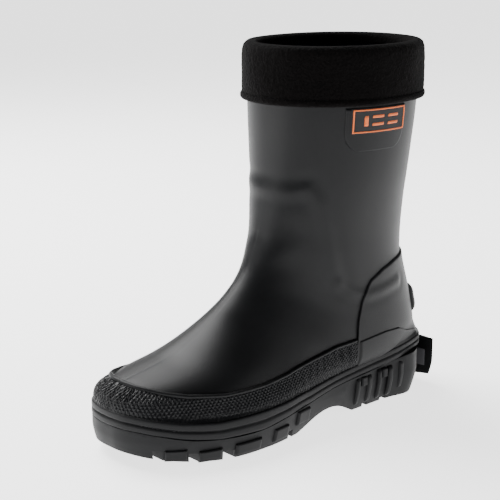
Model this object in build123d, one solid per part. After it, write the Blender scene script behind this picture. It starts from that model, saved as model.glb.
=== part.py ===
"""Lined short wellington boot, left foot: moulded rubber boot with a lift-out fleece liner.

Millimetres.  +Z is up, the toe points to -Y and the outer (lateral) side of the foot to +X.
Z = 0 is the ground under the tread, and Y = 0 is the middle of the sole's length.
"""
from build123d import *
from math import cos, hypot, pi, sin
import os

# ---------------------------------------------------------------- driving dimensions
SOLE_LENGTH = 308.0         # outsole, toe to heel
SOLE_WIDTH = 113.0          # outsole across the ball of the foot
BOOT_HEIGHT = 288.0         # ground to the rubber rim
SHELL_WALL = 3.5            # rubber wall of the upper
BOND = 0.1                  # glue line between moulded layers of the boot
LINER_GAP = 0.5             # air between the rubber and the lift-out liner
LINER_WALL = 4.0            # fleece pile and backing
CUFF_WALL = 4.2             # fleece where it is turned down outside
CUFF_GAP = 0.6              # air between the turned-down cuff and the tab
FOLD_HEIGHT = 5.0           # fleece where it turns over the rubber rim
CUFF_DROP = 45.0            # turned-down length below the fold
HEM_HEIGHT = 6.0            # rolled hem at the cuff's lower edge
HEM_BULGE = 1.0             # how far the hem stands out from the cuff
RAND_WALL = 1.8             # textured rand round the toe and sides
LIP_WALL = 2.8              # bead along the rand's upper edge
LIP_HEIGHT = 2.6
COUNTER_WALL = 1.6          # raised heel counter
GUARD_WALL = 1.0            # second layer low on the heel counter
LUG_REACH = 4.0             # kick-off lug behind the heel
LUG_HEIGHT = 15.0
LUG_WIDTH = 34.0
LUG_BOTTOM = 63.0           # ground to the underside of the kick-off lug
TAB_WALL = 1.2              # raised tab on the lateral side of the shaft
TAB_WIDTH = 56.0
TAB_CENTRE = 56.0           # Y of the tab's middle
TAB_DROP = 34.0             # tab below the cuff's lower edge
TAB_CORNER = 20.0
TAB_INSET = 12.0            # tab's upper end below the rim
HEM_CLEARANCE = 1.0         # label's upper end below the cuff
LABEL_WALL = 0.8            # label on the tab
LABEL_WIDTH = 48.0
LABEL_HEIGHT = 19.0
LABEL_CORNER = 2.0
LINER_SOLE_THICKNESS = 4.0
MIDSOLE_INSET = 9.0         # midsole edge inside the outsole's edge
MIDSOLE_BOTTOM = 17.0
MIDSOLE_TOP = 31.0
TREAD_DEPTH = 7.0           # height of the tread lugs
TREAD_SPINE = 26.0          # width left solid between the side cuts
LEG_BOTTOM = 212.0          # the liner keeps its form above this and folds below it
REST_GAP = 0.3              # between the liner's sole and the footbed

# The last below is drawn for this size and is graded to the size asked for above.
LAST_LENGTH = 308.0
LAST_WIDTH = 113.0
LAST_HEIGHT = 288.0
ANKLE_HEIGHT = 120.0        # below this the height does not change with the shaft


def grade(x, y, z):
    """Carry a point of the drawn last to the size asked for."""
    shaft = max(z - ANKLE_HEIGHT, 0) * (BOOT_HEIGHT - ANKLE_HEIGHT) / (LAST_HEIGHT - ANKLE_HEIGHT)
    return (x * SOLE_WIDTH / LAST_WIDTH, y * SOLE_LENGTH / LAST_LENGTH, min(z, ANKLE_HEIGHT) + shaft)


# Sections of the boot body from the rim to the toe.  Each plane holds the X direction and runs
# from the front of the shaft or the top of the foot to the back of the heel or the underside.
# (front y, z), (back y, z), lateral and medial half width, place of the widest point from
# front to back, roundness in front, roundness behind, centre x.
STATIONS = [
    ((-4, 303), (138.5, 303), 60, 60, 0.50, 2.1, 2.1, 0),
    ((-4, 286), (138.2, 286), 60, 60, 0.50, 2.1, 2.1, 0),
    ((-4, 268), (137.8, 268), 60, 60, 0.50, 2.1, 2.1, 0),
    ((-4, 250), (137, 249), 60, 60, 0.50, 2.1, 2.1, 0),
    ((-4, 232), (135.5, 230), 58.8, 58.8, 0.50, 2.1, 2.1, 0),
    ((-4, 213), (133.6, 209), 56.6, 56.6, 0.50, 2.1, 2.1, 0),
    ((-4.6, 195), (132, 188), 54, 54, 0.50, 2.1, 2.1, 0),
    ((-6.5, 180), (131, 169), 51, 51, 0.50, 2.1, 2.1, 0),
    ((-8, 166), (131, 150), 48, 48, 0.50, 2.1, 2.1, 0),
    ((-10, 154), (131.5, 131), 45.5, 45.5, 0.51, 2.1, 2.1, 0),
    ((-13, 142), (134, 112), 44, 44, 0.52, 2.1, 2.1, 0),
    ((-20, 127), (145, 76), 42, 42, 0.55, 2.1, 2.2, 0),
    ((-29, 115), (148, 46), 42, 41, 0.60, 2.1, 2.3, 0),
    ((-37, 107), (128, 30), 43, 41, 0.62, 2.1, 2.5, 0),
    ((-46, 99), (80, 30), 44, 42, 0.66, 2.1, 2.9, 0),
    ((-58, 89), (30, 30), 46, 45, 0.70, 2.1, 3.2, -1),
    ((-76, 77), (-20, 29), 50, 48, 0.72, 2.2, 3.5, -1),
    ((-93, 68), (-60, 29), 52, 50, 0.72, 2.2, 3.5, -2),
    ((-113, 62), (-97, 31), 47, 46, 0.70, 2.2, 3.2, -4),
    ((-132, 57), (-125, 34), 36, 34, 0.66, 2.2, 2.8, -7),
    ((-141, 54), (-139, 36), 27, 25, 0.60, 2.2, 2.4, -9),
    ((-147, 50), (-147, 38), 17, 16, 0.52, 2.2, 2.2, -10),
]
QUARTER_POINTS = 6          # points in a quarter of a section
THINNEST = 4.5              # a section thinner than this from its middle is left out
SHAFT = (0, 8)              # stations that bound the cuff and the tab
HEEL = (6, 16)              # stations that bound the heel counter
FOREFOOT = (13, 21)         # stations that bound the rand

# Outline of the outsole on the ground, from the tip of the toe to the back of the heel.
SOLE_LATERAL = [(0, -154), (15, -150.5), (33, -138), (49, -113), (56, -85), (58, -58), (55, -30),
                (49, -3), (44, 32), (42, 72), (42, 106), (37, 133), (21, 149.5), (0, 154)]
SOLE_MEDIAL = [(0, -154), (-16, -153.5), (-30, -149), (-43, -138), (-53, -115), (-55, -85),
               (-49, -50), (-41, -15), (-38, 20), (-39, 60), (-40, 100), (-36, 132), (-20, 149.5),
               (0, 154)]

# Lines round the side of the boot, as (y, z).
FOXING_TOP = [(-160, 41), (-146, 38.5), (-124, 34.5), (-95, 31.5), (-34, 31.5), (0, 32.5), (50, 37.5),
              (96, 42.5), (132, 46), (160, 47)]
GROOVE = [(-160, 29), (-146, 27.5), (-124, 22.5), (-95, 18.5), (-56, 17.5), (-34, 19.5), (0, 22),
          (30, 26), (60, 28.5), (90, 31), (132, 37), (160, 39)]
RAND_TOP = [(-160, 60), (-143, 56), (-121, 51), (-91, 48.5), (-52, 49), (-10, 51.5), (33, 55),
            (60, 57), (160, 60)]
TREAD_LINE = [(-160, 13), (-154, 11), (-145, 8.5), (-126, 5), (-100, 1.5), (-75, 0), (-45, 0),
              (-15, 0), (10, 8), (30, 10), (46, 5), (56, 0), (125, 0), (140, 3), (160, 12)]
# Cuts between the tread's side lugs: middle Y and width.
TREAD_CUTS = [(-138, 5), (-116, 7), (-88, 11), (-51, 13), (-24, 5), (71, 6), (94, 7)]
COUNTER_EDGE = [(50, 30), (56, 55), (59, 75), (64, 99), (74, 112), (100, 121), (165, 125)]
GUARD_EDGE = [(62, 30), (66, 46), (80, 54), (110, 59), (165, 61)]
FOOTBED_TOP = [(-160, 47), (-130, 43), (-110, 39.5), (-85, 37.5), (-20, 37), (40, 38), (160, 38)]

FAR = 400.0                 # size of a cutting block
CRUMB = 20.0                # a scrap smaller than this, in cubic millimetres, is left out
LEAST_SQUARE = 0.45         # how far off square a section may meet the outline


def side_space(line, close, raised=0.0):
    """The space on one side of a line drawn on the boot's side, across the whole width."""
    points = [grade(0, y, z + raised)[1:] for y, z in line]
    start, end = points[0], points[-1]
    corners = {
        "above": [end, (end[0], FAR), (start[0], FAR), start],
        "below": [end, (end[0], -FAR), (start[0], -FAR), start],
        "behind": [end, (FAR, end[1]), (FAR, start[1]), start],
    }[close]
    with BuildSketch(Plane.YZ.offset(-FAR / 2)) as sketch:
        with BuildLine():
            Spline(points)
            Polyline(corners)
        make_face()
    return extrude(sketch.sketch, FAR)


def slab(low, high):
    """The space between two heights."""
    return Pos(0, 0, (low + high) / 2) * Box(FAR, FAR, high - low)


def outward(stations, index, end):
    """Unit normal of the side outline at one end of a section, pointing out of the boot."""
    before = stations[max(index - 1, 0)][end]
    after = stations[min(index + 1, len(stations) - 1)][end]
    along = (after[0] - before[0], after[1] - before[1])
    size = hypot(*along)
    normal = (along[1] / size, -along[0] / size)
    here, other = stations[index][end], stations[index][1 - end]
    if normal[0] * (here[0] - other[0]) + normal[1] * (here[1] - other[1]) < 0:
        normal = (-normal[0], -normal[1])
    return normal


def section(stations, index, outset):
    """One closed section of the boot, moved outward by outset."""
    front, back, lateral, medial, widest, round_front, round_back, centre = stations[index]
    length = hypot(front[0] - back[0], front[1] - back[1])
    axis = ((front[0] - back[0]) / length, (front[1] - back[1]) / length)
    ends = []
    for end, point, sign in ((0, front, 1), (1, back, -1)):
        normal = outward(stations, index, end)
        square = abs(normal[0] * axis[0] + normal[1] * axis[1])
        step = sign * outset / max(square, LEAST_SQUARE)
        ends.append((point[0] + axis[0] * step, point[1] + axis[1] * step))
    front, back = ends
    if index == len(stations) - 1:
        front = (front[0] - outset, front[1])
        back = (back[0] - outset, back[1])
    points = []
    for count in range(4 * QUARTER_POINTS):
        turn = 2 * pi * count / (4 * QUARTER_POINTS)
        roundness = round_front if cos(turn) > 0 else round_back
        along = abs(cos(turn)) ** (2 / roundness)
        share = widest * (1 - along) if cos(turn) > 0 else widest + (1 - widest) * along
        reach = (lateral if sin(turn) > 0 else -medial) + (outset if sin(turn) > 0 else -outset)
        across = reach * abs(sin(turn)) ** (2 / roundness)
        points.append(Vector(centre + across, front[0] + (back[0] - front[0]) * share,
                             front[1] + (back[1] - front[1]) * share))
    return Wire([Edge.make_spline(points, periodic=True)])


def form(outset=0.0, span=(0, 99)):
    """The boot's outer form moved outward by outset, whole or between two stations."""
    graded = []
    for front, back, lateral, medial, widest, round_front, round_back, centre in STATIONS:
        front = grade(0, *front)[1:]
        back = grade(0, *back)[1:]
        lateral, medial, centre = (grade(x, 0, 0)[0] for x in (lateral, medial, centre))
        graded.append((front, back, lateral, medial, widest, round_front, round_back, centre))
    kept = [station for station in graded
            if hypot(station[0][0] - station[1][0], station[0][1] - station[1][1]) / 2
            + min(outset, 0) > THINNEST]
    sections = [section(kept, index, outset) for index in range(len(kept))
                if span[0] <= index <= span[1]]
    return Solid.make_loft(sections)


def sole_form(inset=0.0):
    """Upright block inside the outsole's outline, drawn in by inset at the sides and ends."""
    across = 1 - inset / (SOLE_WIDTH / 2)
    along = 1 - inset / (SOLE_LENGTH / 2)
    lateral, medial = ([(grade(x, 0, 0)[0] * across, grade(0, y, 0)[1] * along) for x, y in half]
                       for half in (SOLE_LATERAL, SOLE_MEDIAL))
    with BuildSketch() as sketch:
        with BuildLine():
            Spline(lateral, tangents=[(1, 0), (-1, 0)])
            Spline(medial, tangents=[(-1, 0), (1, 0)])
        make_face()
    return extrude(sketch.sketch, ANKLE_HEIGHT)


def side_plate(width, centre, low, high, corner):
    """Upright plate through the lateral side of the shaft, with its lower corners rounded."""
    with BuildSketch(Plane.YZ) as sketch:
        with Locations((centre, (low + high) / 2)):
            Rectangle(width, high - low)
        fillet(sketch.vertices().group_by(Axis.Z)[0], corner)
    return extrude(sketch.sketch, FAR)


def solids_of(shape):
    """A shape's solids as one compound, without the crumbs that cutting leaves."""
    parts = [solid for solid in shape.solids() if solid.volume > CRUMB]
    return parts[0] if len(parts) == 1 else Compound(children=parts)


def upper():
    """Rubber upper, open at the rim, and what is moulded onto it."""
    bond = form()
    above_foxing = side_space(FOXING_TOP, "above", BOND)
    below_rand = side_space(RAND_TOP, "below")
    lip_space = side_space(RAND_TOP, "below", LIP_HEIGHT) - below_rand
    heel = side_space(COUNTER_EDGE, "behind")
    guard_space = side_space(GUARD_EDGE, "behind") & above_foxing
    lug_place = Pos(0, FAR / 2 + ANKLE_HEIGHT / 2, LUG_BOTTOM + LUG_HEIGHT / 2)
    lug_space = lug_place * Box(LUG_WIDTH, FAR, LUG_HEIGHT)
    counter = ((form(COUNTER_WALL, HEEL) & heel) & above_foxing) - guard_space - lug_space
    return {
        "upper_shell": (form(-BOND) - form(-SHELL_WALL)) & slab(-FAR, BOOT_HEIGHT),
        "toe_rand": (((form(RAND_WALL, FOREFOOT) & below_rand) & above_foxing) - heel) - bond,
        "rand_lip": ((form(LIP_WALL, FOREFOOT) & lip_space) - heel) - bond,
        "heel_counter": counter - bond,
        "heel_guard": (form(COUNTER_WALL + GUARD_WALL, HEEL) & guard_space) - bond,
        "kick_off_lug": (form(COUNTER_WALL + LUG_REACH, HEEL) & lug_space) - bond,
    }


def tab_and_label():
    """Raised tab under the cuff's edge, and the label on it."""
    hem_line = BOOT_HEIGHT + FOLD_HEIGHT - CUFF_DROP
    centre = grade(0, TAB_CENTRE, 0)[1]
    label_top = hem_line - HEM_CLEARANCE
    tab_plate = side_plate(TAB_WIDTH, centre, hem_line - TAB_DROP, BOOT_HEIGHT - TAB_INSET, TAB_CORNER)
    label_plate = side_plate(LABEL_WIDTH, centre, label_top - LABEL_HEIGHT, label_top, LABEL_CORNER)
    return {
        "side_tab": (form(TAB_WALL, SHAFT) & tab_plate) - form(),
        "label_patch": (form(TAB_WALL + LABEL_WALL, SHAFT) & label_plate) - form(TAB_WALL + BOND, SHAFT),
    }


def sole():
    """Outsole with its tread, the cushion inside it and the smooth band above it."""
    block = sole_form()
    bond = form()
    groove = side_space(GROOVE, "below")
    cushion = (sole_form(MIDSOLE_INSET) & slab(MIDSOLE_BOTTOM, MIDSOLE_TOP)) - bond
    outsole = ((block & groove) & side_space(TREAD_LINE, "above")) - cushion - bond
    side = (SOLE_WIDTH - TREAD_SPINE) / 2
    cuts = []
    for middle, width in TREAD_CUTS:
        for hand in (-1, 1):
            place = Pos(hand * (TREAD_SPINE + side) / 2, grade(0, middle, 0)[1], 0)
            cuts.append(place * Box(side, width, FAR))
    cuts = Compound(children=cuts) & side_space(TREAD_LINE, "below", TREAD_DEPTH)
    band_floor = side_space(GROOVE, "below", BOND)
    band = ((block & side_space(FOXING_TOP, "below")) - band_floor) - cushion - bond
    return {"outsole": outsole - cuts, "midsole": cushion, "foxing_band": band}


def inside():
    """Footbed moulded to the upper's floor."""
    return {"footbed": form(-SHELL_WALL - BOND) & side_space(FOOTBED_TOP, "below")}


def liner():
    """Fleece liner that lifts out, with its top turned down over the rubber rim."""
    outer = -SHELL_WALL - LINER_GAP
    inner = outer - LINER_WALL
    fold_top = BOOT_HEIGHT + FOLD_HEIGHT
    fold_floor = BOOT_HEIGHT + LINER_GAP
    hem_line = fold_top - CUFF_DROP
    cuff_inner = TAB_WALL + CUFF_GAP
    leg_space = slab(LEG_BOTTOM, fold_floor)
    foot_space = slab(-FAR, LEG_BOTTOM)
    outside, hollow = form(outer), form(inner)
    sole_floor = side_space(FOOTBED_TOP, "above", REST_GAP)
    sole_top = side_space(FOOTBED_TOP, "above", REST_GAP + LINER_SOLE_THICKNESS)
    cuff_outside = form(cuff_inner + CUFF_WALL, SHAFT)
    skirt_room = form(cuff_inner, SHAFT) & slab(-FAR, fold_floor)
    hem = form(cuff_inner + CUFF_WALL + HEM_BULGE, SHAFT) - form(cuff_inner, SHAFT)
    return {
        "liner_leg": (outside - hollow) & leg_space,
        "liner_foot": ((outside & sole_top) - hollow) & foot_space,
        "liner_sole": (outside & sole_floor) - sole_top,
        "liner_cuff": ((cuff_outside & slab(hem_line + HEM_HEIGHT, fold_top)) - hollow) - skirt_room,
        "cuff_hem": hem & slab(hem_line, hem_line + HEM_HEIGHT),
    }


def main():
    os.makedirs("parts", exist_ok=True)
    for group in (upper, tab_and_label, sole, inside, liner):
        for name, shape in group().items():
            export_step(solids_of(shape), f"parts/{name}.step")


main()
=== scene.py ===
"""Lined short rubber boot with a turned-down fleece cuff, built around the packed frame."""
from math import cos, pi, radians, sin

import bmesh
import bpy
import numpy as np
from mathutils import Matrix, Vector, noise
from mathutils.bvhtree import BVHTree


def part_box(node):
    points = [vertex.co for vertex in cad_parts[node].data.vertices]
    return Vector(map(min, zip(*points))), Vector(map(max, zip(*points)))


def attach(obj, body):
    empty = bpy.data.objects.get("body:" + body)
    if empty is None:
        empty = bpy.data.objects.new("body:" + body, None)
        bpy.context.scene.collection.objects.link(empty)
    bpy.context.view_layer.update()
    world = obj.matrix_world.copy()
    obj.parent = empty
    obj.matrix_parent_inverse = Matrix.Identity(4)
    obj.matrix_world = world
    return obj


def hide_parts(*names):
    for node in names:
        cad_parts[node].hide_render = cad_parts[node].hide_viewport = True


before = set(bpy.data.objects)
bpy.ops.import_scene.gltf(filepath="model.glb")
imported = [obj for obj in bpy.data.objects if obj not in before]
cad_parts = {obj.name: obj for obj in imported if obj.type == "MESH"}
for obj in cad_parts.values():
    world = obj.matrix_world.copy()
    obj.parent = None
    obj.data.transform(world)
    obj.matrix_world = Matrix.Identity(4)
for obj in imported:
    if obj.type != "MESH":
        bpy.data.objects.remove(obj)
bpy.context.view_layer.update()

bl_info = {
    "name": "Lined rubber boot",
    "version": (1, 0, 0),
    "blender": (4, 5, 0),
    "location": "3D View > Sidebar > Boot",
    "description": "Short rubber boot with a lugged sole and a lift-out fleece liner",
    "category": "Mesh",
}

MM = 0.001
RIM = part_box("upper_shell")[1][2] / MM          # height of the rubber rim
FOLD_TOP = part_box("liner_cuff")[1][2] / MM      # top of the turned-down fleece
HEM_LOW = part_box("cuff_hem")[0][2] / MM
LEG_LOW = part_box("liner_leg")[0][2] / MM

# Walls and clearances, in millimetres.
SHELL_WALL = 3.4
SEAM_HEIGHT, SEAM_WIDTH = 0.45, 0.9     # the mould's parting line
COUNTER_WALL, GUARD_WALL, LUG_WALL = 1.6, 1.1, 4.0
RAND_WALL, LIP_WALL = 1.3, 2.9
RAND_STEP, GRAIN_HEIGHT = 0.78, 0.95    # column spacing and raised points of the rand
TAB_WALL, TAB_CORNER = 1.2, 14
LABEL_WALL, THREAD_WALL = 0.8, 0.5
LUG_DEPTH = 1.9                         # how far the side blocks stand out
SOLE_TAPER = 20                         # height below which the sole draws in
SOLE_DRAW_ACROSS, SOLE_DRAW_ALONG, SOLE_DRAW_CURVE = 0.085, 0.03, 1.3
OUTLINE_LENGTH = 940                    # the most that the outline measures round
RAY_START = 50                          # how far outside the shell a ray starts
DEEPER = 2.5                            # a ray that goes this much deeper has missed

# The boot's last, in millimetres: front y, z; back y, z; lateral and medial half width; place of
# the widest point from front to back; roundness in front and behind; centre x.
LAST = np.array([
    (-4, 303, 138.5, 303, 60, 60, 0.50, 2.1, 2.1, 0),
    (-4, 286, 138.2, 286, 60, 60, 0.50, 2.1, 2.1, 0),
    (-4, 268, 137.8, 268, 60, 60, 0.50, 2.1, 2.1, 0),
    (-4, 250, 137, 249, 60, 60, 0.50, 2.1, 2.1, 0),
    (-4, 232, 135.5, 230, 58.8, 58.8, 0.50, 2.1, 2.1, 0),
    (-4, 213, 133.6, 209, 56.6, 56.6, 0.50, 2.1, 2.1, 0),
    (-4.6, 195, 132, 188, 54, 54, 0.50, 2.1, 2.1, 0),
    (-6.5, 180, 131, 169, 51, 51, 0.50, 2.1, 2.1, 0),
    (-8, 166, 131, 150, 48, 48, 0.50, 2.1, 2.1, 0),
    (-10, 154, 131.5, 131, 45.5, 45.5, 0.51, 2.1, 2.1, 0),
    (-13, 142, 134, 112, 44, 44, 0.52, 2.1, 2.1, 0),
    (-20, 127, 145, 76, 42, 42, 0.55, 2.1, 2.2, 0),
    (-29, 115, 148, 46, 42, 41, 0.60, 2.1, 2.3, 0),
    (-37, 107, 128, 30, 43, 41, 0.62, 2.1, 2.5, 0),
    (-46, 99, 80, 30, 44, 42, 0.66, 2.1, 2.9, 0),
    (-58, 89, 30, 30, 46, 45, 0.70, 2.1, 3.2, -1),
    (-76, 77, -20, 29, 50, 48, 0.72, 2.2, 3.5, -1),
    (-93, 68, -60, 29, 52, 50, 0.72, 2.2, 3.5, -2),
    (-113, 62, -97, 31, 47, 46, 0.70, 2.2, 3.2, -4),
    (-132, 57, -125, 34, 36, 34, 0.66, 2.2, 2.8, -7),
    (-141, 54, -139, 36, 27, 25, 0.60, 2.2, 2.4, -9),
    (-147, 50, -147, 38, 17, 16, 0.52, 2.2, 2.2, -10),
    (-149.5, 47, -149.5, 41, 9, 9, 0.50, 2.0, 2.0, -10),
], dtype=float)

# Outline of the sole, toe tip to heel, and the lines round its side as (y, z).
SOLE_LATERAL = [(0, -154), (15, -150.5), (33, -138), (49, -113), (56, -85), (58, -58), (55, -30),
                (49, -3), (44, 32), (42, 72), (42, 106), (38, 130), (33, 140), (22, 149),
                (11, 153), (0, 154)]
SOLE_MEDIAL = [(0, -154), (-16, -153.5), (-30, -149), (-43, -138), (-53, -115), (-55, -85),
               (-49, -50), (-41, -15), (-38, 20), (-39, 60), (-40, 100), (-37, 129), (-32, 140),
               (-22, 149), (-11, 153), (0, 154)]
FOXING_TOP = [(-160, 41), (-146, 38.5), (-124, 34.5), (-95, 31.5), (-34, 31.5), (0, 32.5),
              (50, 37.5), (96, 42.5), (132, 46), (160, 47)]
GROOVE = [(-160, 29), (-146, 27.5), (-124, 22.5), (-95, 18.5), (-56, 17.5), (-34, 19.5), (0, 22),
          (30, 26), (60, 28.5), (90, 31), (132, 37), (160, 39)]
RAND_TOP = [(-160, 58), (-140, 55), (-117, 50.5), (-87, 48), (-48, 48), (-24, 50), (0, 54),
            (30, 59), (60, 60), (160, 60)]
COUNTER_EDGE = [(50, 30), (54, 55), (57, 75), (63, 96), (70, 107), (83, 114), (99, 118), (130, 121),
                (165, 122)]
GUARD_EDGE = [(50, 58), (73, 60), (88, 61), (105, 60), (117, 55), (150, 48), (170, 46)]

# Raised tread blocks on the side wall: front y, back y, low z, high z.
SIDE_LUGS = [(-134, -119, 5.5, 15), (-112, -93, 2.5, 12), (-83, -58, 2, 12), (-45, -28, 3, 14),
             (-18, -1, 8, 20), (55, 60, 3, 27), (60.5, 68, 19, 27), (68.5, 74, 3, 27),
             (80, 85, 3, 29), (85.5, 92, 21, 29), (92.5, 98, 3, 29), (105, 111, 6, 31)]

# Creases pressed into the shaft: points on the lateral side, depth and half width.
CREASES = [
    ([(-30, 2, 185), (-14, -4, 184), (4, -6, 184), (19, -2, 183), (30, 5, 184)], 1.3, 5.0),
    ([(36, 8, 186), (39, 17, 172), (39, 25, 145), (39, 31, 124), (39, 37, 109)], 1.2, 5.0),
    ([(39, 37, 109), (41, 52, 98), (42, 68, 94.5), (42, 82, 95.5), (38, 104, 99)], 1.5, 3.6),
    ([(-36, 8, 186), (-39, 22, 150), (-39, 36, 112), (-41, 60, 97), (-38, 100, 99)], 1.2, 4.5),
    ([(-26, -14, 138), (-8, -19, 133), (12, -18, 134), (30, -4, 140)], 0.9, 8.0),
]
SEAM = [(-2, -8, 176), (-3, -12, 145), (-2, -23, 122), (-1, -35, 109), (-2, -50, 96), (-2, -75, 78),
        (-5, -93, 68), (-8, -113, 62), (-10, -132, 57), (-10, -141, 54)]


# ------------------------------------------------------------------ the boot's form
def smooth_rows(rows, place):
    """Rows read at fractional places along a smooth curve through them."""
    rows = np.asarray(rows, dtype=float)
    place = np.asarray(place, dtype=float)
    low = np.clip(np.floor(place).astype(int), 0, len(rows) - 2)
    part = (place - low)[..., None]
    before, first = rows[np.maximum(low - 1, 0)], rows[low]
    second, after = rows[low + 1], rows[np.minimum(low + 2, len(rows) - 1)]
    return 0.5 * (2 * first + (second - before) * part
                  + (2 * before - 5 * first + 4 * second - after) * part ** 2
                  + (3 * first - before - 3 * second + after) * part ** 3)


def form_points(place, turn, outset=0.0):
    """Points of the boot's form: place runs from rim to toe, turn goes round from the front."""
    row = smooth_rows(LAST, place)
    front, back = row[..., 0:2], row[..., 2:4]
    axis = front - back
    axis = axis / np.linalg.norm(axis, axis=-1, keepdims=True)
    front = front + axis * outset
    back = back - axis * outset
    ahead = np.cos(turn) > 0
    roundness = np.where(ahead, row[..., 7], row[..., 8])
    along = np.abs(np.cos(turn)) ** (2 / roundness)
    widest = row[..., 6]
    share = np.where(ahead, widest * (1 - along), widest + (1 - widest) * along)
    lateral = np.sin(turn) > 0
    half = np.where(lateral, row[..., 4], row[..., 5]) + outset
    across = half * np.abs(np.sin(turn)) ** (2 / roundness) * np.where(lateral, 1, -1)
    side = front + (back - front) * share[..., None]
    return np.stack([row[..., 9] + across, side[..., 0], side[..., 1]], axis=-1)


def ring_at(height, outset, turn):
    """A level ring round the shaft."""
    place = np.interp(-np.asarray(height, dtype=float), -LAST[:12, 1], np.arange(12))
    points = form_points(place, turn, outset)
    points[..., 2] = height
    return points


def grid_normals(points, wrap):
    """Unit normals of a grid of points, pointing away from its middle line."""
    down = np.gradient(points, axis=0)
    if wrap:
        across = (np.roll(points, -1, axis=1) - np.roll(points, 1, axis=1)) / 2
    else:
        across = np.gradient(points, axis=1)
    normal = np.cross(across, down)
    size = np.linalg.norm(normal, axis=-1, keepdims=True)
    return normal / np.maximum(size, 1e-9)


def line_distance(points, line):
    """Distance from each point to a broken line."""
    line = np.asarray(line, dtype=float)
    best = np.full(points.shape[:-1], 1e9)
    for start, end in zip(line[:-1], line[1:]):
        run = end - start
        share = np.clip(((points - start) @ run) / (run @ run), 0, 1)
        near = start + share[..., None] * run
        best = np.minimum(best, np.linalg.norm(points - near, axis=-1))
    return best


def smoothstep(low, high, value):
    part = np.clip((value - low) / (high - low), 0, 1)
    return part * part * (3 - 2 * part)


def outline(count):
    """Sole outline as evenly spaced points and outward directions, from the toe tip round."""
    loop = np.array(SOLE_LATERAL + SOLE_MEDIAL[-2:0:-1], dtype=float)
    closed = np.vstack([loop[-1:], loop, loop[:2]])
    places = np.linspace(1, len(loop) + 1, 4000, endpoint=False)
    dense = smooth_rows(closed, places)
    dense = np.vstack([dense, dense[:1]])
    length = np.concatenate([[0], np.cumsum(np.linalg.norm(np.diff(dense, axis=0), axis=1))])
    at = np.linspace(0, length[-1], count, endpoint=False)
    points = np.stack([np.interp(at, length, dense[:, k]) for k in (0, 1)], axis=-1)
    run = np.roll(points, -1, axis=0) - np.roll(points, 1, axis=0)
    out = np.stack([run[:, 1], -run[:, 0]], axis=-1)
    return points, out / np.linalg.norm(out, axis=1, keepdims=True)


def read_line(line, y):
    line = np.array(line, dtype=float)
    return np.interp(y, line[:, 0], line[:, 1])


# ------------------------------------------------------------------ meshes
def make_piece(name, points, faces, finish, body, nodes=(), smooth=True):
    """A mesh from points in millimetres, closed and facing outwards, on its body."""
    mesh = bpy.data.meshes.new(name)
    mesh.from_pydata([tuple(p) for p in np.asarray(points) * MM], [], faces)
    work = bmesh.new()
    work.from_mesh(mesh)
    bmesh.ops.remove_doubles(work, verts=work.verts, dist=1e-6)
    bmesh.ops.recalc_face_normals(work, faces=work.faces)
    work.to_mesh(mesh)
    work.free()
    piece = bpy.data.objects.new(name, mesh)
    bpy.context.scene.collection.objects.link(piece)
    mesh.materials.append(finish)
    mesh.polygons.foreach_set("use_smooth", [smooth] * len(mesh.polygons))
    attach(piece, body)
    if nodes:
        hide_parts(*nodes)
    return piece


def quads(rows, columns, wrap_columns=False, wrap_rows=False, start=0):
    """Faces of a grid stored row by row."""
    faces = []
    for i in range(rows if wrap_rows else rows - 1):
        for j in range(columns if wrap_columns else columns - 1):
            k, m = (i + 1) % rows, (j + 1) % columns
            faces.append((start + i * columns + j, start + i * columns + m,
                          start + k * columns + m, start + k * columns + j))
    return faces


def skin_piece(name, outer, inner, finish, body, slot, nodes=(), keep=None, smooth=True):
    """A closed plate between two grids, where keep says which cells it has."""
    rows, columns = outer.shape[:2]
    if keep is None:
        keep = np.ones((rows - 1, columns - 1), dtype=bool)
    faces = []
    size = rows * columns
    for i, j in zip(*np.nonzero(keep)):
        a, b = i * columns + j, i * columns + j + 1
        c, d = b + columns, a + columns
        faces.append((a, b, c, d))
        faces.append((size + d, size + c, size + b, size + a))
        for near, edge in (((i - 1, j), (a, b)), ((i + 1, j), (c, d)),
                           ((i, j - 1), (d, a)), ((i, j + 1), (b, c))):
            inside = 0 <= near[0] < rows - 1 and 0 <= near[1] < columns - 1
            if not inside or not keep[near]:
                faces.append((edge[1], edge[0], size + edge[0], size + edge[1]))
    points = np.concatenate([outer.reshape(-1, 3), inner.reshape(-1, 3)])
    used = np.unique(np.array([v for face in faces for v in face]))
    renumber = {old: new for new, old in enumerate(used)}
    faces = [tuple(renumber[v] for v in face) for face in faces]
    return make_piece(name, points[used], faces, finish, body, nodes, smooth)


def cast(tree, starts, directions):
    """Where rays meet the shell, with the surface direction there; a miss takes the row above."""
    rows, columns = starts.shape[:2]
    hits, normals = np.zeros_like(starts), np.zeros_like(starts)
    for j in range(columns):
        above = None
        for i in range(rows - 1, -1, -1):
            start, direction = Vector(starts[i, j]), Vector(directions[i, j])
            hit, normal, _, length = tree.ray_cast(start, direction)
            lost = hit is None or normal.z * np.sign(-normal.dot(direction)) < -0.75
            lost = lost or (above is not None and length > above[2] + DEEPER)
            if lost and above is not None:
                hit = above[0].copy()
                hit.z += start.z - starts[i + 1, j, 2]
                normal, length = above[1], above[2]
            elif hit is None:
                hit, normal, _, length = tree.find_nearest(start + direction * 45)
            if normal.dot(direction) > 0:
                normal = -normal
            hits[i, j], normals[i, j] = hit, normal
            above = (hit, normal, length)
    return hits, normals


STORE = {}


# ------------------------------------------------------------------ finishes
def new_finish(name, colour, roughness, metal=0.0):
    material = bpy.data.materials.new(name)
    material.use_nodes = True
    shader = material.node_tree.nodes["Principled BSDF"]
    shader.inputs["Base Color"].default_value = (*colour, 1)
    shader.inputs["Roughness"].default_value = roughness
    shader.inputs["Metallic"].default_value = metal
    return material, material.node_tree, shader


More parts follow.
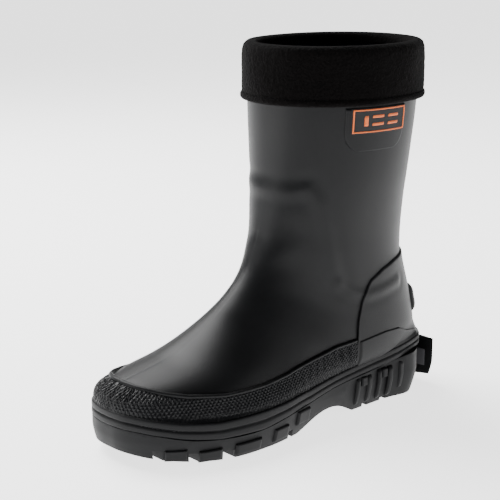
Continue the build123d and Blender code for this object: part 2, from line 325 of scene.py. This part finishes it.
def add_noise(tree, scale, detail=3.0):
    coordinates = tree.nodes.new("ShaderNodeTexCoord")
    texture = tree.nodes.new("ShaderNodeTexNoise")
    texture.inputs["Scale"].default_value = scale
    texture.inputs["Detail"].default_value = detail
    tree.links.new(coordinates.outputs["Object"], texture.inputs["Vector"])
    return texture


def add_range(tree, source, low, high):
    """The texture's value carried to a range."""
    spread = tree.nodes.new("ShaderNodeMapRange")
    spread.inputs["To Min"].default_value = low
    spread.inputs["To Max"].default_value = high
    tree.links.new(source, spread.inputs["Value"])
    return spread.outputs["Result"]


def add_colours(tree, source, shader, low, high):
    ramp = tree.nodes.new("ShaderNodeValToRGB")
    ramp.color_ramp.elements[0].position = 0.3
    ramp.color_ramp.elements[1].position = 0.7
    ramp.color_ramp.elements[0].color = (*low, 1)
    ramp.color_ramp.elements[1].color = (*high, 1)
    tree.links.new(source, ramp.inputs["Fac"])
    tree.links.new(ramp.outputs["Color"], shader.inputs["Base Color"])


def add_bump(tree, shader, source, strength, distance):
    bump = tree.nodes.new("ShaderNodeBump")
    bump.inputs["Strength"].default_value = strength
    bump.inputs["Distance"].default_value = distance
    tree.links.new(source, bump.inputs["Height"])
    tree.links.new(bump.outputs["Normal"], shader.inputs["Normal"])


def rubber(name, colour, roughness, grain):
    """Moulded rubber: fine grain, faint scuffs and slightly uneven gloss."""
    material, tree, shader = new_finish(name, colour, roughness)
    broad = add_noise(tree, 28.0, 5.0)
    fine = add_noise(tree, 1300.0, 2.0)
    darker = tuple(channel * 0.82 for channel in colour)
    lighter = tuple(channel * 1.2 for channel in colour)
    add_colours(tree, broad.outputs["Fac"], shader, darker, lighter)
    gloss = add_range(tree, broad.outputs["Fac"], roughness - 0.05, roughness + 0.06)
    tree.links.new(gloss, shader.inputs["Roughness"])
    add_bump(tree, shader, fine.outputs["Fac"], grain, 0.0003)
    shader.inputs["Specular IOR Level"].default_value = 0.17
    return material


def fleece(name, colour, lift):
    """Napped fleece: small tufts, soft sheen and lighter pile ends."""
    material, tree, shader = new_finish(name, colour, 0.95)
    tufts = add_noise(tree, 620.0, 4.0)
    lighter = tuple(channel * lift for channel in colour)
    add_colours(tree, tufts.outputs["Fac"], shader, colour, lighter)
    add_bump(tree, shader, tufts.outputs["Fac"], 0.9, 0.0012)
    shader.inputs["Specular IOR Level"].default_value = 0.04
    shader.inputs["Sheen Weight"].default_value = 0.025
    shader.inputs["Sheen Roughness"].default_value = 0.45
    return material


def woven(name, colour, sheen):
    """Tight weave or satin stitch."""
    material, tree, shader = new_finish(name, colour, 0.75)
    coordinates = tree.nodes.new("ShaderNodeTexCoord")
    wave = tree.nodes.new("ShaderNodeTexWave")
    wave.bands_direction = "DIAGONAL"
    wave.inputs["Scale"].default_value = 420.0
    tree.links.new(coordinates.outputs["Object"], wave.inputs["Vector"])
    lighter = tuple(min(channel * 1.35, 1.0) for channel in colour)
    add_colours(tree, wave.outputs["Fac"], shader, tuple(c * 0.7 for c in colour), lighter)
    add_bump(tree, shader, wave.outputs["Fac"], 0.6, 0.0003)
    shader.inputs["Sheen Weight"].default_value = sheen
    return material


def finishes():
    """Every finish, made once."""
    if "finishes" not in STORE:
        sizes = bpy.context.scene.boot_looks
        base = tuple(sizes.rubber_colour)
        STORE["finishes"] = {
            "upper": rubber("upper_rubber", base, sizes.rubber_roughness, 0.25),
            "rand": rubber("rand_rubber", tuple(c * 1.3 for c in base), 0.3, 0.05),
            "sole": rubber("sole_rubber", tuple(c * 0.95 for c in base), 0.5, 0.2),
            "fleece": fleece("black_fleece", tuple(sizes.fleece_colour), 2.6),
            "lining": fleece("liner_lining", (0.001, 0.001, 0.0022), 2.2),
            "felt": fleece("liner_felt", (0.02, 0.02, 0.023), 1.8),
            "foam": rubber("footbed_foam", (0.06, 0.06, 0.065), 0.8, 0.8),
            "label": woven("label_weave", (0.0025, 0.0025, 0.003), 0.0),
            "thread": woven("label_thread", tuple(sizes.thread_colour), 0.2),
        }
    return STORE["finishes"]


# ------------------------------------------------------------------ upper and what lies on it
def upper_skin(outset, rows=190, columns=200):
    """Grid over the whole upper, rim to toe, with its creases pressed in."""
    place = np.linspace((303 - RIM) / 17, len(LAST) - 1, rows)[:, None] * np.ones((1, columns))
    turn = (np.arange(columns) * 2 * pi / columns)[None, :] * np.ones((rows, 1))
    points = form_points(place, turn, outset)
    points[0, :, 2] = RIM
    return points


def press_creases(points):
    normal = grid_normals(points, True)
    looks = bpy.context.scene.boot_looks
    depth = np.zeros(points.shape[:2])
    for line, deep, width in CREASES:
        near = line_distance(points, line) / width
        fold = np.exp(-near ** 2) - 0.45 * np.exp(-(near - 1.9) ** 2)
        depth += looks.crease_depth * deep * fold
    near = line_distance(points, SEAM)
    depth -= SEAM_HEIGHT * np.exp(-(near / SEAM_WIDTH) ** 2)
    normal[-4:] = (0, -1, 0)
    return points - normal * depth[..., None]


def build_upper():
    outer = press_creases(upper_skin(0.0))
    inner = upper_skin(-SHELL_WALL)
    rows, columns = outer.shape[:2]
    points = [outer.reshape(-1, 3), inner.reshape(-1, 3)]
    faces = quads(rows, columns, True)
    faces += [face[::-1] for face in quads(rows, columns, True, start=rows * columns)]
    half = rows * columns
    for j in range(columns):
        k = (j + 1) % columns
        faces.append((k, j, half + j, half + k))
    last, other = (rows - 1) * columns, half + (rows - 1) * columns
    points += [outer[-1].mean(axis=0)[None], inner[-1].mean(axis=0)[None]]
    for j in range(columns):
        k = (j + 1) % columns
        faces.append((last + j, last + k, 2 * half))
        faces.append((other + k, other + j, 2 * half + 1))
    points = np.concatenate(points)
    make_piece("upper", points, faces, finishes()["upper"], "boot",
               ["upper_shell"])
    only_outer = [tuple(p) for p in points[:half]] + [tuple(points[2 * half])]
    polygons = quads(rows, columns, True) + [(last + j, last + (j + 1) % columns, half)
                                             for j in range(columns)]
    STORE["tree"] = BVHTree.FromPolygons(only_outer, polygons)


def band(name, columns, low, high, rows, wall, slot, finish, nodes=(), sink=0.4, texture=None,
         base=0.0, flare=0.0, smooth=True):
    """A moulded band on the shell over a run of outline columns, between two heights.

    Over the toe the rays come down at a slant. A flare carries its foot out to the sole's edge.
    """
    points, out = columns
    share = np.linspace(0, 1, rows)[:, None]
    height = low[None, :] + (high - low)[None, :] * share
    slant = np.radians(38) * (1 - smoothstep(-138, -105, points[:, 1]))[None, :]
    climb = np.clip((height - 38) / 17, 0, 1.2)
    aim = np.zeros((rows, len(points), 3))
    aim[..., 0] = points[None, :, 0] - out[None, :, 0] * (2 + 11 * climb)
    aim[..., 1] = points[None, :, 1] - out[None, :, 1] * (2 + 11 * climb)
    aim[..., 2] = height
    inward = np.zeros_like(aim)
    inward[..., 0] = -out[None, :, 0] * np.cos(slant)
    inward[..., 1] = -out[None, :, 1] * np.cos(slant)
    inward[..., 2] = -np.sin(slant)
    hit, normal = cast(STORE["tree"], aim - inward * RAY_START, inward)
    sole_top = read_line(FOXING_TOP, points[:, 1])[None, :]
    if flare:
        edge = np.zeros_like(hit)
        edge[..., 0] = points[None, :, 0] - out[None, :, 0] * (base + 2.0)
        edge[..., 1] = points[None, :, 1] - out[None, :, 1] * (base + 2.0)
        edge[..., 2] = hit[..., 2]
        pull = np.clip(1 - (hit[..., 2] - sole_top) / flare, 0, 1) ** 1.5
        outwards = ((edge - hit)[..., :2] * out[None, :, :]).sum(axis=-1) > 0
        hit = hit + (edge - hit) * (pull * outwards)[..., None]
    thick = base + wall(share, np.linspace(0, 1, len(points))[None, :])
    thick = thick * np.ones(hit.shape[:2])
    if texture is not None:
        thick = thick + texture(hit, share)
    outer = hit + normal * thick[..., None]
    inner = hit + normal * (base - sink)
    return skin_piece(name, outer, inner, finish, "boot", slot, nodes, smooth=smooth)


def columns_where(step, test, start_behind):
    """Outline columns at a given spacing where a test on y holds, in one run."""
    points, out = outline(int(OUTLINE_LENGTH / step))
    end = np.argmax if start_behind else np.argmin
    shift = int(end(points[:, 1]))
    points, out = np.roll(points, -shift, axis=0), np.roll(out, -shift, axis=0)
    chosen = test(points[:, 1])
    return points[chosen], out[chosen]


def rounded(share, edge):
    """A wall that rounds over at both edges."""
    near = np.minimum(share, 1 - share) / edge
    return np.sqrt(np.clip(1 - (1 - np.clip(near, 0, 1)) ** 2, 0, 1))


def build_rand():
    looks = bpy.context.scene.boot_looks
    points, out = columns_where(RAND_STEP, lambda y: y < 54, True)
    low, high = read_line(FOXING_TOP, points[:, 1]) - 2, read_line(RAND_TOP, points[:, 1])
    run = np.concatenate([[0], np.cumsum(np.linalg.norm(np.diff(points, axis=0), axis=1))])

    def pyramids(hit, share):
        pitch = looks.grain_pitch / MM
        first = (run[None, :] + hit[..., 2]) / pitch
        second = (run[None, :] - hit[..., 2]) / pitch
        ridge = [1 - np.abs(2 * (v - np.floor(v)) - 1) for v in (first, second)]
        fade = smoothstep(0.0, 0.04, share) * (1 - smoothstep(0.9, 0.96, share))
        return GRAIN_HEIGHT * np.minimum(*ridge) * fade

    band("rand", (points, out), low, high, 44, lambda s, t: RAND_WALL + 0 * s, "rand_rubber",
         finishes()["rand"], ["toe_rand"], texture=pyramids, flare=15,
         smooth=False)
    points, out = columns_where(2.0, lambda y: y < 56, True)
    middle = read_line(RAND_TOP, points[:, 1])
    band("rand_lip_bead", (points, out), middle - 1.6, middle + 1.5, 14,
         lambda s, t: LIP_WALL * rounded(s, 0.5) * rounded(t, 0.01), "rand_rubber", finishes()["upper"],
         ["rand_lip"])


def build_heel():
    points, out = columns_where(1.1, lambda y: y > 50.5, False)
    low = read_line(FOXING_TOP, points[:, 1]) - 2
    high = np.maximum(read_line(COUNTER_EDGE, points[:, 1]), low + 1)
    band("counter", (points, out), low, high, 60,
         lambda s, t: COUNTER_WALL * rounded(s, 0.03) * np.clip(rounded(t, 0.006), 0.05, 1),
         "upper_rubber", finishes()["upper"], ["heel_counter"], flare=11)
    points, out = columns_where(1.5, lambda y: y > 55, False)
    low = read_line(FOXING_TOP, points[:, 1]) - 2
    high = np.maximum(read_line(GUARD_EDGE, points[:, 1]), low + 1)
    band("guard", (points, out), low, high, 40,
         lambda s, t: GUARD_WALL * rounded(s, 0.06) * np.clip(rounded(t, 0.01), 0.05, 1),
         "upper_rubber", finishes()["upper"], ["heel_guard"], base=1.5, flare=11)
    points, out = columns_where(1.0, lambda y: y > 100, False)
    inside = np.abs(points[:, 0]) < 33
    points, out = points[inside], out[inside]
    band("kick_lug", (points, out), np.full(len(points), 64.0), np.full(len(points), 86.0), 26,
         lambda s, t: LUG_WALL * rounded(s, 0.3) * rounded(t, 0.12), "upper_rubber",
         finishes()["upper"], ["kick_off_lug"], base=1.4)


def side_patch(name, y_low, y_high, z_low, z_high, corner, wall, base, finish, slot, nodes=(),
               columns=60, rows=44):
    """A patch on the lateral side with rounded lower corners."""
    share = np.linspace(0, 1, rows) ** 1.5
    height = z_low + (z_high - z_low) * share
    from_end = np.clip(corner - (height - z_low), 0, corner)
    if corner:
        short = corner - np.sqrt(np.maximum(corner ** 2 - from_end ** 2, 0))
    else:
        short = np.zeros(rows)
    across = np.linspace(0, 1, columns)
    y = (y_low + short)[:, None] + (y_high - y_low - 2 * short)[:, None] * across[None, :]
    starts = np.stack([np.full_like(y, 130.0), y, height[:, None] * np.ones_like(y)], axis=-1)
    hit, normal = cast(STORE["tree"], starts, np.zeros_like(starts) + (-1, 0, 0))
    edge = np.minimum(rounded(share, 0.02)[:, None], rounded(across, 0.02)[None, :])
    outer = hit + normal * (base + wall * np.clip(edge, 0.1, 1))[..., None]
    inner = hit + normal * (base - 0.3)
    return skin_piece(name, outer, inner, finish, "boot", slot, nodes)


def build_side():
    top = HEM_LOW - 1
    tab = side_patch("side_tab_patch", 29, 86, 213.5, top, TAB_CORNER, TAB_WALL, 0.0,
                     finishes()["upper"], "upper_rubber", ["side_tab"])
    label = side_patch("label_ground", 33, 85, 227, top - 0.3, 0, LABEL_WALL, 1.1,
                       finishes()["label"], "label_cloth", ["label_patch"], rows=30)
    thread = finishes()["thread"]
    rims = [(34, 84, 228, 229.2), (34, 84, 244.6, 245.8), (34, 35.2, 228, 245.8),
            (82.8, 84, 228, 245.8)]
    marks = [(43, 46.5, 233, 241), (50, 61, 238.8, 241), (50, 61, 233, 235.2),
             (65, 76, 238.8, 241), (65, 76, 233, 235.2)]
    for k, (left, right, bottom, high) in enumerate(rims + marks):
        columns = max(6, int((right - left) * 1.2))
        rows = max(5, int((high - bottom) * 1.2))
        side_patch(f"label_stitch_{k + 1}", left, right, bottom, high, 0,
                                   THREAD_WALL, 1.8, thread, "label_thread", columns=columns,
                                   rows=rows)


# ------------------------------------------------------------------ sole
def build_foxing():
    points, out = outline(560)
    top = read_line(FOXING_TOP, points[:, 1])
    groove = read_line(GROOVE, points[:, 1])
    profile = [(-5.5, top + 0.2), (-1.2, top + 0.3), (-0.3, top), (0.15, top - 1.0)]
    height = top - groove
    for share in (0.2, 0.34):
        profile.append((0.2, top - height * share))
    for drop, inset in ((0.40, 0.15), (0.44, -0.75), (0.50, -0.75), (0.54, 0.15)):
        profile.append((inset, top - height * drop))
    for share in (0.7, 0.86):
        profile.append((0.2, top - height * share))
    profile += [(0.0, groove + 0.7), (-0.9, groove + 0.1), (-5.5, groove + 0.1)]
    ring = [np.column_stack([points + out * inset, high]) for inset, high in profile]
    body = np.concatenate(ring)
    faces = quads(len(ring), len(points), True, True)
    make_piece("foxing", body, faces, finishes()["sole"], "boot", ["foxing_band"])


def bevelled_copy(node, name, finish, body, width):
    """The packed part as a piece of its own, with its edges rounded."""
    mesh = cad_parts[node].data.copy()
    work = bmesh.new()
    work.from_mesh(mesh)
    bmesh.ops.remove_doubles(work, verts=work.verts, dist=1e-6)
    bmesh.ops.recalc_face_normals(work, faces=work.faces)
    work.to_mesh(mesh)
    work.free()
    mesh.materials.clear()
    mesh.materials.append(finish)
    piece = bpy.data.objects.new(name, mesh)
    bpy.context.scene.collection.objects.link(piece)
    if width:
        bevel = piece.modifiers.new("Rounded edges", "BEVEL")
        bevel.width = width
        bevel.segments = 2
        bevel.limit_method = "ANGLE"
        bevel.angle_limit = radians(40)
        bevel.loop_slide = False
    bpy.ops.object.select_all(action="DESELECT")
    piece.select_set(True)
    bpy.context.view_layer.objects.active = piece
    bpy.ops.object.shade_smooth_by_angle(angle=radians(35))
    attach(piece, body)
    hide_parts(node)
    return piece


def side_lug(name, y_front, y_back, low, high, hand):
    """A raised tread block on the sole's side wall, on one side of the boot."""
    points, out = outline(900)
    chosen = (points[:, 1] > y_front) & (points[:, 1] < y_back) & (points[:, 0] * hand > 0)
    points, out = points[chosen], out[chosen]
    order = np.argsort(points[:, 1])
    points, out = points[order], out[order]
    across = np.linspace(0, 1, len(points))[None, :]
    share = np.linspace(0, 1, 12)[:, None]
    height = low + (high - low) * share * np.ones_like(across)
    inset = SOLE_DRAW_ACROSS * 52 * np.clip(1 - height / SOLE_TAPER, 0, 1) ** SOLE_DRAW_CURVE
    wall = LUG_DEPTH * np.minimum(rounded(share, 0.12) * np.ones_like(across), rounded(across, 0.1))
    grids = []
    for step in (wall - inset, -inset - 2.0):
        grid = np.zeros((*height.shape, 3))
        grid[..., 0] = points[None, :, 0] + out[None, :, 0] * step
        grid[..., 1] = points[None, :, 1] + out[None, :, 1] * step
        grid[..., 2] = height
        grids.append(grid)
    skin_piece(name, *grids, finishes()["sole"], "boot", "sole_rubber")


def build_outsole():
    looks = bpy.context.scene.boot_looks
    sole = bevelled_copy("outsole", "outsole_rubber", finishes()["sole"], "boot",
                         looks.sole_edge)
    for vertex in sole.data.vertices:
        low = min(max(1 - vertex.co.z / (SOLE_TAPER * MM), 0), 1) ** SOLE_DRAW_CURVE
        vertex.co.x *= 1 - SOLE_DRAW_ACROSS * low
        vertex.co.y *= 1 - SOLE_DRAW_ALONG * low
    number = 0
    for left, right, low, high in SIDE_LUGS:
        for hand in (-1, 1):
            number += 1
            side_lug(f"side_lug_{number}", left, right, low, high, hand)
    bevelled_copy("midsole", "midsole_foam", finishes()["foam"], "boot", 0)
    bed = bevelled_copy("footbed", "footbed_pad", finishes()["foam"], "boot", 0)


# ------------------------------------------------------------------ liner
def profile_ring(name, profile, count, columns, finish, nodes, fuzz, wave):
    """A closed profile of (outset, height) swept round the shaft, with a soft uneven surface."""
    closed = np.array(profile + profile[:1], dtype=float)
    length = np.concatenate([[0], np.cumsum(np.linalg.norm(np.diff(closed, axis=0), axis=1))])
    at = np.linspace(0, length[-1], count, endpoint=False)
    shape = np.stack([np.interp(at, length, closed[:, k]) for k in (0, 1)], axis=-1)
    for _ in range(2):
        shape = (np.roll(shape, 1, axis=0) + 2 * shape + np.roll(shape, -1, axis=0)) / 4
    turn = np.arange(columns) * 2 * pi / columns
    rings = []
    for outset, height in shape:
        level = np.full(columns, height)
        rings.append(ring_at(level, outset, turn))
    points = np.array(rings)
    centre = points.mean(axis=1, keepdims=True)
    away = points - centre
    away[..., 2] = 0
    away /= np.linalg.norm(away, axis=-1, keepdims=True)
    outside = smoothstep(-2, 1.5, shape[:, 0])[:, None]
    seed = Vector((3.1, 7.7, 1.3))
    swell = np.array([[noise.noise(Vector(p) * 0.035 + seed) for p in ring] for ring in points])
    pile = np.array([[noise.noise(Vector(p) * 0.55) + 0.6 * noise.noise(Vector(p) * 1.3)
                      for p in ring] for ring in points])
    points = points + away * ((wave * swell * outside) + fuzz * pile * outside)[..., None]
    points[..., 2] += fuzz * 0.5 * pile * outside
    faces = quads(len(shape), columns, True, True)
    return make_piece(name, points.reshape(-1, 3), faces, finish, "liner", nodes)


def build_liner():
    looks = bpy.context.scene.boot_looks
    pile = looks.pile_height / MM
    cuff = profile_ring(
        "fleece_cuff",
        [(-8.0, 284), (-8.0, 288), (-7.4, 290.6), (-5.4, 292.4), (-2.5, FOLD_TOP), (0.5, 292.6),
         (3.2, 290.6), (4.5, 287), (4.8, 280), (4.8, 268), (4.8, 258), (4.3, 253.2), (1.0, 253.2),
         (0.8, 262), (0.8, 275), (0.7, 287.6), (0.0, 288.4), (-3.6, 288.4), (-4.0, 287.6),
         (-4.0, 284)],
        120, 420, finishes()["fleece"], ["liner_cuff"], pile, looks.cuff_swell / MM)
    hem = profile_ring(
        "cuff_hem_roll",
        [(0.9, 249.5), (2.4, 248.2), (4.2, 248.3), (5.6, 249.8), (5.9, 251.4), (5.2, 253.2),
         (3.6, 254.0), (1.0, 253.6)],
        36, 420, finishes()["fleece"], ["cuff_hem"], pile * 0.8, looks.cuff_swell / MM)
    leg = profile_ring(
        "fleece_leg",
        [(-8.0, LEG_LOW), (-8.0, 230), (-8.0, 250), (-8.0, 284.2), (-4.1, 284.2), (-4.1, 250),
         (-4.1, 230), (-4.1, LEG_LOW)],
        90, 200, finishes()["lining"], ["liner_leg"], 0.0, 0.0)
    foot = bevelled_copy("liner_foot", "fleece_foot", finishes()["lining"], "liner", 0)
    under = bevelled_copy("liner_sole", "felt_sole", finishes()["felt"], "liner", 0)


# ------------------------------------------------------------------ stage
def build_stage():
    scene = bpy.context.scene
    bpy.ops.mesh.primitive_plane_add(size=60, location=(0, 0, 0))
    floor = bpy.context.active_object
    floor.name = "floor"
    material, tree, shader = new_finish("pale_floor", (0.96, 0.96, 0.96), 0.9)
    shader.inputs["Emission Color"].default_value = (1, 1, 1, 1)
    shader.inputs["Emission Strength"].default_value = 2.2
    shader.inputs["Specular IOR Level"].default_value = 0.1
    floor.data.materials.append(material)
    world = bpy.data.worlds.new("studio")
    world.use_nodes = True
    world.node_tree.nodes["Background"].inputs["Color"].default_value = (1, 1, 1, 1)
    world.node_tree.nodes["Background"].inputs["Strength"].default_value = 0.16
    scene.world = world
    aim = Vector((0, 0.0, 0.14))
    for name, place, size, power in (
            ("key_light", (-1.1, -0.1, 1.35), 1.3, 62.0),
            ("front_light", (-0.6, -1.4, 0.35), 0.9, 9.0),
            ("rim_light", (1.35, 1.15, 0.7), 0.6, 3.0)):
        bpy.ops.object.light_add(type="AREA", location=place)
        light = bpy.context.active_object
        light.name = name
        light.data.size = size
        light.data.energy = power
        light.rotation_euler = (aim - Vector(place)).to_track_quat("-Z", "Y").to_euler()
    turn, tilt = radians(48.54), radians(13.89)
    bpy.ops.object.camera_add(location=(0.7623, -0.6935, 0.3889))
    camera = bpy.context.active_object
    ahead = Vector((-sin(turn) * cos(tilt), cos(turn) * cos(tilt), -sin(tilt)))
    camera.rotation_euler = ahead.to_track_quat("-Z", "Y").to_euler()
    camera.data.lens = 98.6
    camera.data.sensor_width = 36
    scene.camera = camera


# ------------------------------------------------------------------ add-on
class BootLooks(bpy.types.PropertyGroup):
    """Looks and sizes of the boot's finish."""
    rubber_colour: bpy.props.FloatVectorProperty(
        name="Rubber colour", description="Colour of the moulded rubber", subtype="COLOR",
        default=(0.0042, 0.0044, 0.005), min=0, max=1)
    rubber_roughness: bpy.props.FloatProperty(
        name="Rubber roughness", description="Roughness of the upper", default=0.44, min=0, max=1)
    fleece_colour: bpy.props.FloatVectorProperty(
        name="Fleece colour", description="Colour of the fleece", subtype="COLOR",
        default=(0.0012, 0.001, 0.001), min=0, max=1)
    thread_colour: bpy.props.FloatVectorProperty(
        name="Thread colour", description="Colour of the label's stitching", subtype="COLOR",
        default=(0.75, 0.14, 0.02), min=0, max=1)
    crease_depth: bpy.props.FloatProperty(
        name="Crease depth", description="Strength of the shaft's creases", default=0.5, min=0,
        max=2)
    grain_pitch: bpy.props.FloatProperty(
        name="Grain pitch", description="Distance between the rand's raised points",
        default=0.0034, min=0.001, max=0.008, subtype="DISTANCE")
    sole_edge: bpy.props.FloatProperty(
        name="Sole edge", description="Rounding of the outsole's edges", default=0.0007, min=0,
        max=0.002, subtype="DISTANCE")
    pile_height: bpy.props.FloatProperty(
        name="Pile height", description="Unevenness of the fleece", default=0.00035, min=0,
        max=0.002, subtype="DISTANCE")
    cuff_swell: bpy.props.FloatProperty(
        name="Cuff swell", description="Slow unevenness of the turned-down cuff", default=0.0012,
        min=0, max=0.004, subtype="DISTANCE")


def step_operator(name, label, note, build):
    """An operator that runs one building step."""
    def execute(self, context):
        build()
        return {"FINISHED"}

    return type("BOOT_OT_" + name, (bpy.types.Operator,), {
        "bl_idname": "boot." + name, "bl_label": label, "__doc__": note, "execute": execute})


STEPS = [
    step_operator("upper", "Upper", "Build the rubber upper", build_upper),
    step_operator("rand", "Rand", "Build the textured rand and its lip", build_rand),
    step_operator("heel", "Heel", "Build the counter, guard and lug", build_heel),
    step_operator("side", "Side", "Build the tab and label", build_side),
    step_operator("foxing", "Foxing", "Build the foxing band", build_foxing),
    step_operator("outsole", "Sole", "Build the outsole, midsole and footbed", build_outsole),
    step_operator("liner", "Liner", "Build the fleece liner", build_liner),
    step_operator("stage", "Stage", "Build floor, lights and camera", build_stage),
]


class BOOT_PT_panel(bpy.types.Panel):
    """Sidebar panel with the boot's looks and steps."""
    bl_label = "Rubber boot"
    bl_idname = "BOOT_PT_panel"
    bl_space_type = "VIEW_3D"
    bl_region_type = "UI"
    bl_category = "Boot"

    def draw(self, context):
        looks = context.scene.boot_looks
        for name in BootLooks.__annotations__:
            self.layout.prop(looks, name)
        for step in STEPS:
            self.layout.operator(step.bl_idname)


CLASSES = [BootLooks, *STEPS, BOOT_PT_panel]


def register():
    for item in CLASSES:
        bpy.utils.register_class(item)
    bpy.types.Scene.boot_looks = bpy.props.PointerProperty(type=BootLooks)


def unregister():
    del bpy.types.Scene.boot_looks
    for item in reversed(CLASSES):
        bpy.utils.unregister_class(item)


def main():
    register()
    for step in STEPS:
        getattr(bpy.ops.boot, step.bl_idname.split(".")[1])()


if __name__ == "__main__":
    main()
